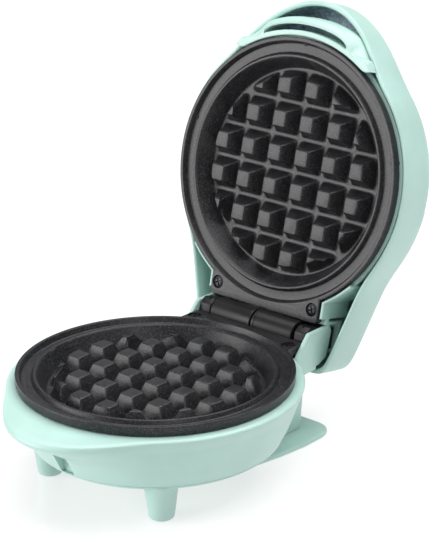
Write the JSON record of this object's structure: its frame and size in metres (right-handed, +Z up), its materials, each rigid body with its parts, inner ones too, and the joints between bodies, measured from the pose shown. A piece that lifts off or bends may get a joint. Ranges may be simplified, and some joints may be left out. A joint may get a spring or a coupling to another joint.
{
  "type": "waffle maker",
  "caption": "Small round electric waffle maker with a hinged lid, two gridded baking plates, indicator lights, moulded grips and a foot for storing the cord.",
  "frame": {"origin": "bottom centre of the whole object's box, with the lid open as it rests", "axes": "+Z up, -Y towards the grips at the front, +Y towards the hinge at the back, +X along the hinge axis to the right"},
  "size_m": [0.132, 0.2128, 0.1923],
  "materials": {
    "shell": "satin moulded plastic, pale mint green",
    "base_shell": "satin moulded plastic, pale mint green",
    "nonstick": "dark grey non-stick coating on cast aluminium",
    "black_plastic": "black moulded plastic",
    "steel": "bright steel",
    "heater": "dull steel sheath, slightly heat tinted",
    "sheet": "pressed aluminium sheet",
    "screws": "black oxide steel",
    "rubber": "matt dark rubber",
    "ceramic": "off-white ceramic",
    "sleeve": "woven glass-fibre sleeve",
    "red_lens": "clear red plastic lens",
    "green_lens": "clear green plastic lens",
    "lamp": "small neon lamp"
  },
  "bodies": {
    "base": {"base_housing": "base_shell", "base_bottom_cover": "base_shell", "rear_foot_plate": "base_shell", "lower_baking_plate": "nonstick", "lower_heating_element": "heater", "lower_heat_shield": "sheet", "thermostat": "sheet", "thermal_fuse": "ceramic", "terminal_block": "ceramic", "cord_gland": "black_plastic", "hinge_bay_cover": "black_plastic", "base_wire_barrel": "black_plastic", "base_wire_loom": "sleeve", "foot_pad_front_left": "rubber", "foot_pad_front_right": "rubber", "foot_pad_rear_left": "rubber", "foot_pad_rear_right": "rubber", "lower_plate_screw_left": "screws", "lower_plate_screw_right": "screws", "hinge_pin_left": "steel", "hinge_pin_right": "steel", "foot_plate_screw_left": "screws", "foot_plate_screw_right": "screws", "cover_screw_front": "screws", "cover_screw_left": "screws", "cover_screw_right": "screws"},
    "lid": {"lid_outer_shell": "shell", "lid_inner_frame": "shell", "upper_baking_plate": "nonstick", "upper_heating_element": "heater", "upper_heat_shield": "sheet", "lid_wire_barrel": "black_plastic", "lid_wire_loom": "sleeve", "lamp_holder": "black_plastic", "upper_plate_screw_left": "screws", "upper_plate_screw_right": "screws", "lid_hinge_arm_left": "black_plastic", "lid_hinge_arm_right": "black_plastic", "frame_screw_front": "screws", "frame_screw_left": "screws", "frame_screw_right": "screws", "power_lens": "red_lens", "ready_lens": "green_lens", "power_lamp": "lamp", "ready_lamp": "lamp"}
  },
  "joints": [
    {"name": "lid_hinge", "type": "hinge", "parent": "base", "child": "lid", "pos_m": [0, 0.04399, 0.0486], "axis": [1, 0, 0], "range_deg": [0, 103.3]}
  ]
}
